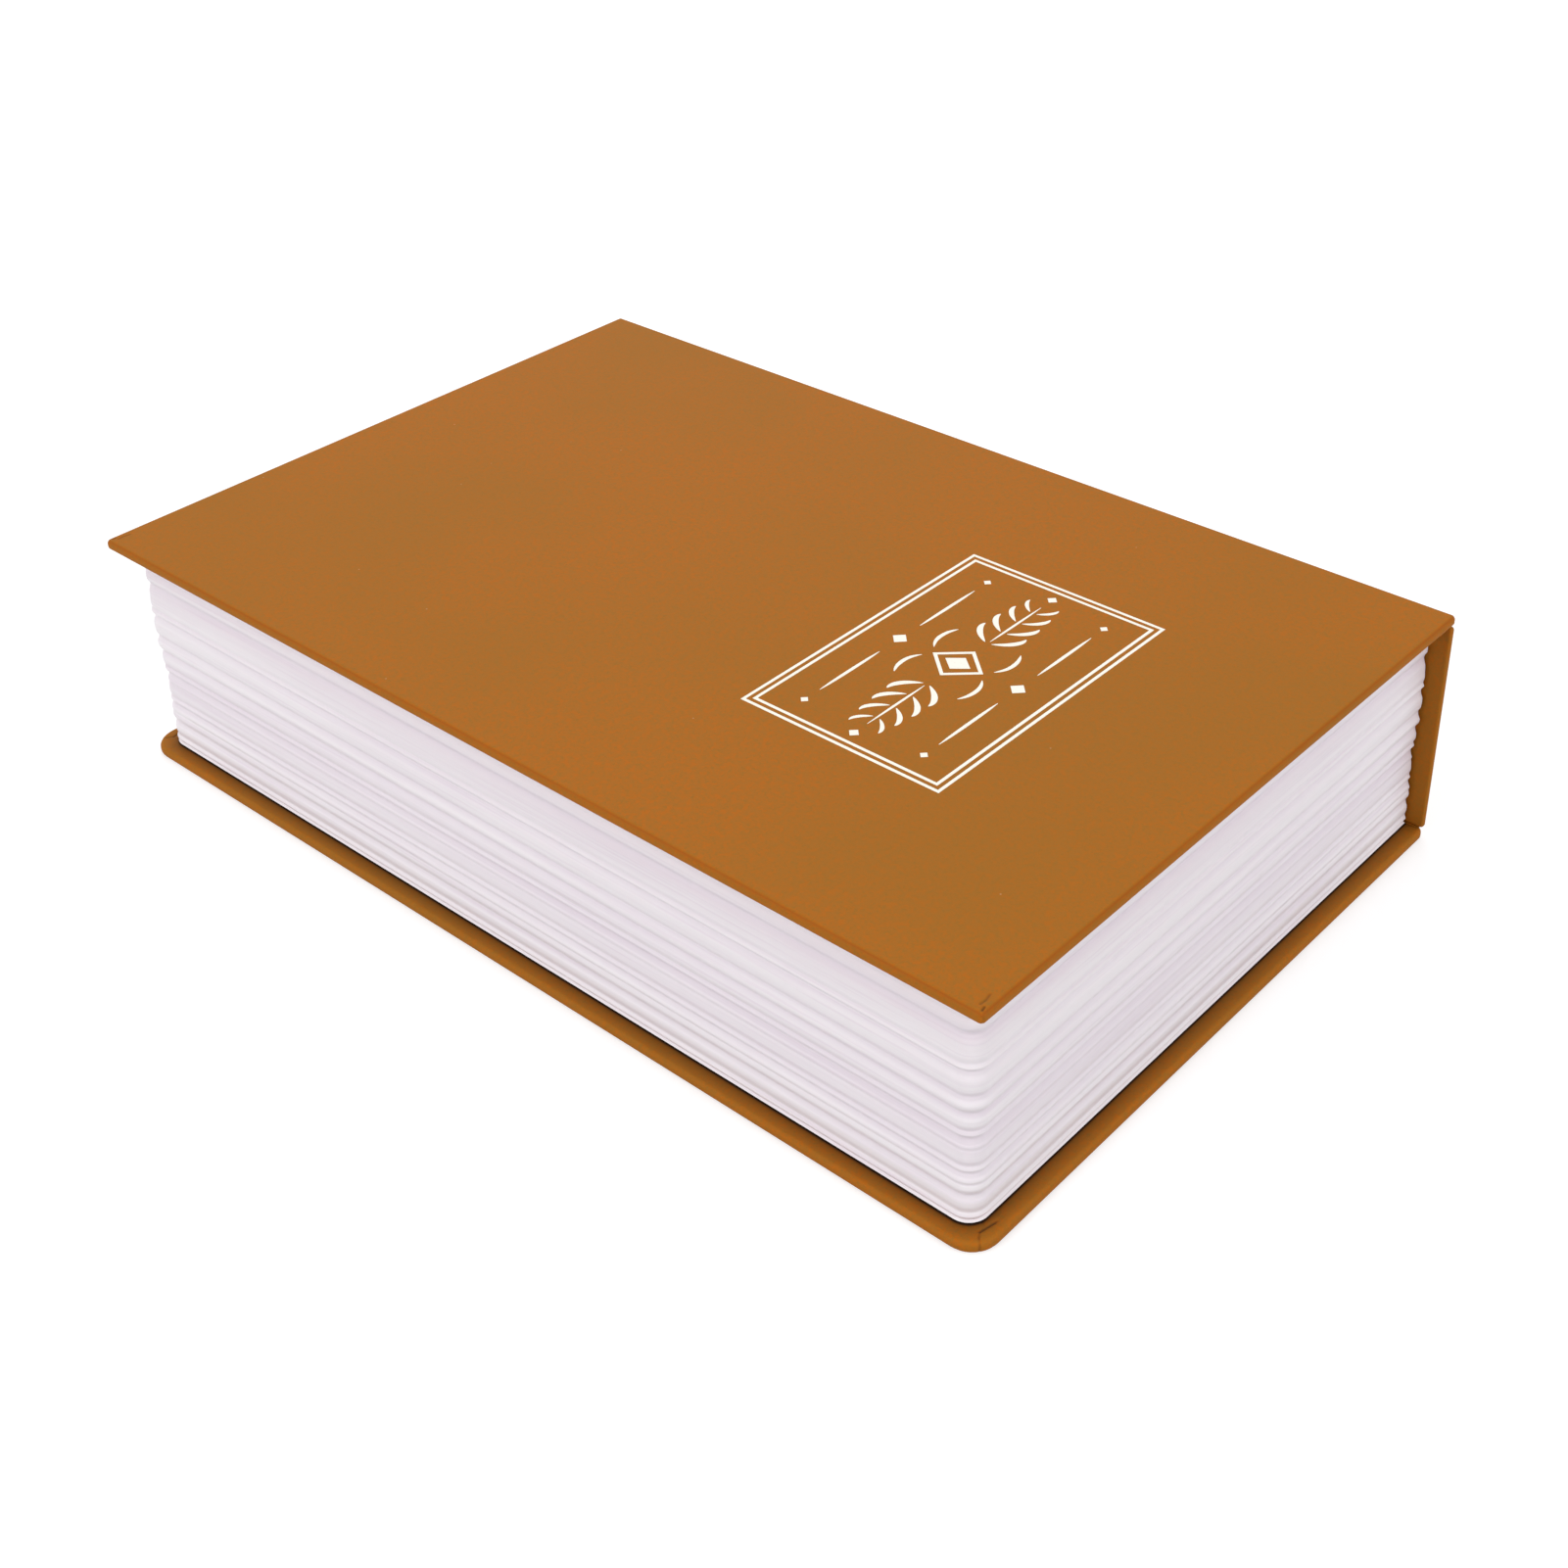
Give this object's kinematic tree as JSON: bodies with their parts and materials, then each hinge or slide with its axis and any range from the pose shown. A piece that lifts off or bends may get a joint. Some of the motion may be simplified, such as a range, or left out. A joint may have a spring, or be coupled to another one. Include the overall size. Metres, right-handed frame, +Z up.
{
  "type": "book diversion safe",
  "caption": "Book-shaped safe: a hinged hardback cover and spine round a ridged false page block that holds a steel box with a hinged, cam-locked lid.",
  "frame": {"origin": "on the supporting surface, under the middle of the closed book lying on its back cover", "axes": "+X from the spine to the fore-edge, +Y from the tail to the head, +Z up through the front cover"},
  "size_m": [0.155, 0.24, 0.055],
  "materials": {
    "cover_paper": "matte brown laminated cover paper with a fine grain and darker edges",
    "grey_board": "raw grey bookbinding board",
    "lining_paper": "matte dark endpaper",
    "page_plastic": "semi-gloss off-white moulded plastic, ridged like page edges",
    "box_paint": "black powder-coated sheet steel, fine texture",
    "plain_steel": "zinc-plated steel",
    "lock_plating": "bright nickel plating"
  },
  "bodies": {
    "safe_body": {"back_cover_board": "grey_board", "back_cover_wrap": "cover_paper", "back_cover_lining": "lining_paper", "page_block": "page_plastic", "steel_box": "box_paint", "hinge_rod": "plain_steel", "rivet_1": "plain_steel", "rivet_2": "plain_steel", "rivet_3": "plain_steel", "rivet_4": "plain_steel", "rivet_5": "plain_steel", "rivet_6": "plain_steel"},
    "spine": {"spine_board": "grey_board", "spine_wrap": "cover_paper", "spine_lining": "lining_paper"},
    "front_cover": {"front_cover_board": "grey_board", "front_cover_wrap": "cover_paper", "front_cover_lining": "lining_paper"},
    "lid": {"lid": "box_paint", "lock_housing": "lock_plating", "lock_washer": "plain_steel", "lock_nut": "plain_steel"},
    "lock_plug": {"lock_plug": "lock_plating", "lock_cam": "plain_steel", "cam_screw": "plain_steel"}
  },
  "joints": [
    {"name": "spine_hinge", "type": "hinge", "parent": "safe_body", "child": "spine", "pos_m": [-0.0775, 0, 0.0024], "axis": [0, -1, 0], "range_deg": [0, 90]},
    {"name": "front_cover_hinge", "type": "hinge", "parent": "spine", "child": "front_cover", "pos_m": [-0.0775, 0, 0.0526], "axis": [0, -1, 0], "range_deg": [0, 90]},
    {"name": "lid_hinge", "type": "hinge", "parent": "safe_body", "child": "lid", "pos_m": [-0.06105, 0, 0.04755], "axis": [0, -1, 0], "range_deg": [0, 95]},
    {"name": "lock_turn", "type": "hinge", "parent": "lid", "child": "lock_plug", "pos_m": [0.0415, 0, 0.04], "axis": [0, 0, -1], "range_deg": [0, 90]}
  ],
  "couplings": [
    {"joint": "lid_hinge", "follows": "front_cover_hinge", "ratio": 1.0555}
  ]
}
